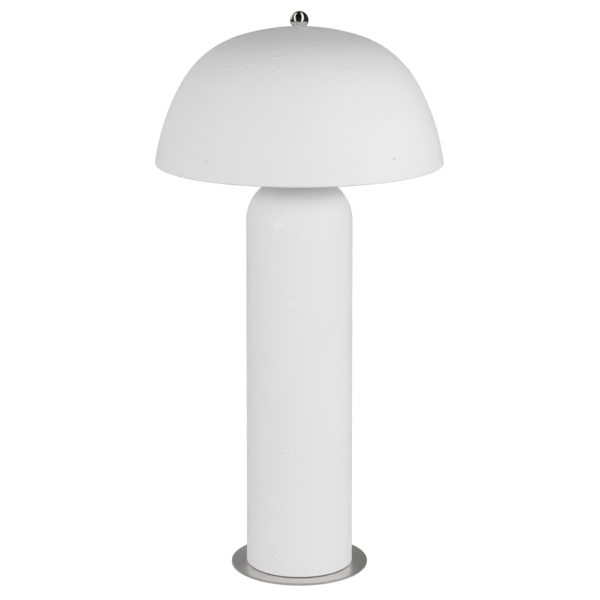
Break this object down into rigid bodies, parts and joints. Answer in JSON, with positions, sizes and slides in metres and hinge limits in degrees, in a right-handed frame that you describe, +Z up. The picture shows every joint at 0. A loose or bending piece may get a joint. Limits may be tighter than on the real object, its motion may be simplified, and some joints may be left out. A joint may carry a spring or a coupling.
{
  "type": "table lamp",
  "caption": "Tall ceramic table lamp: textured white dome shade on a harp, round-shouldered column, flat brushed metal base plate and polished ball finial.",
  "frame": {"origin": "centre of the footprint, on the surface that the pads stand on", "axes": "+Z up through the rod; +Y to the back, where the cord inlet is; -Y to the front, where the switch knob is; the harp lies in the XZ plane"},
  "size_m": [0.3799, 0.38, 0.7587],
  "materials": {
    "white_ceramic": "matte, fine plaster-like texture",
    "brushed_nickel": "brushed",
    "satin_nickel": "satin",
    "polished_nickel": "mirror polish",
    "zinc_steel": "zinc plated",
    "brass": "plain",
    "rubber": "matte",
    "black_plastic": "satin",
    "phenolic": "moulded",
    "white_plastic": "satin",
    "frosted_plastic": "frosted",
    "board": "white solder mask",
    "liner_card": "pressed card"
  },
  "bodies": {
    "base": {"foot_pads": "rubber", "base_plate": "brushed_nickel", "hub_screws": "zinc_steel", "rod_hub": "zinc_steel", "foot_gasket": "rubber", "column": "white_ceramic", "cord_bushing": "black_plastic", "threaded_rod": "zinc_steel", "top_grommet": "rubber", "vase_cap": "brushed_nickel", "cap_nut": "zinc_steel", "harp_saddle": "satin_nickel", "socket_cap": "satin_nickel", "cap_set_screw": "zinc_steel", "socket_shell": "satin_nickel", "socket_liner": "liner_card", "switch_body": "phenolic", "terminal_screws": "brass", "screw_shell": "brass", "centre_contact": "brass"},
    "harp": {"harp": "satin_nickel"},
    "sleeve_left": {"sleeve_left": "satin_nickel"},
    "sleeve_right": {"sleeve_right": "satin_nickel"},
    "swivel": {"harp_swivel": "satin_nickel", "shade_washer": "rubber"},
    "shade": {"shade": "white_ceramic"},
    "finial": {"finial": "polished_nickel"},
    "switch": {"switch_stem": "zinc_steel", "turn_knob": "black_plastic"},
    "bulb": {"bulb_contact": "zinc_steel", "bulb_insulator": "phenolic", "bulb_screw_base": "zinc_steel", "bulb_body": "white_plastic", "light_board": "board", "bulb_diffuser": "frosted_plastic"}
  },
  "joints": [
    {"name": "harp_lift", "type": "slide", "parent": "base", "child": "harp", "axis": [0, 0, 1], "range_m": [0, 0.04]},
    {"name": "sleeve_left_slide", "type": "slide", "parent": "harp", "child": "sleeve_left", "axis": [0, 0, 1], "range_m": [0, 0.012]},
    {"name": "sleeve_right_slide", "type": "slide", "parent": "harp", "child": "sleeve_right", "axis": [0, 0, 1], "range_m": [0, 0.012]},
    {"name": "swivel_turn", "type": "hinge", "parent": "harp", "child": "swivel", "pos_m": [0, 0, 0.73118], "axis": [0, 0, 1], "continuous": true},
    {"name": "shade_lift", "type": "slide", "parent": "swivel", "child": "shade", "axis": [0, 0, 1], "range_m": [0, 0.2]},
    {"name": "finial_turn", "type": "hinge", "parent": "shade", "child": "finial", "pos_m": [0, 0, 0.73768], "axis": [0, 0, 1], "continuous": true},
    {"name": "switch_turn", "type": "hinge", "parent": "base", "child": "switch", "pos_m": [0, -0.026, 0.57918], "axis": [0, -1, 0], "continuous": true},
    {"name": "bulb_out", "type": "slide", "parent": "base", "child": "bulb", "axis": [0, 0, 1], "range_m": [0, 0.027]}
  ]
}
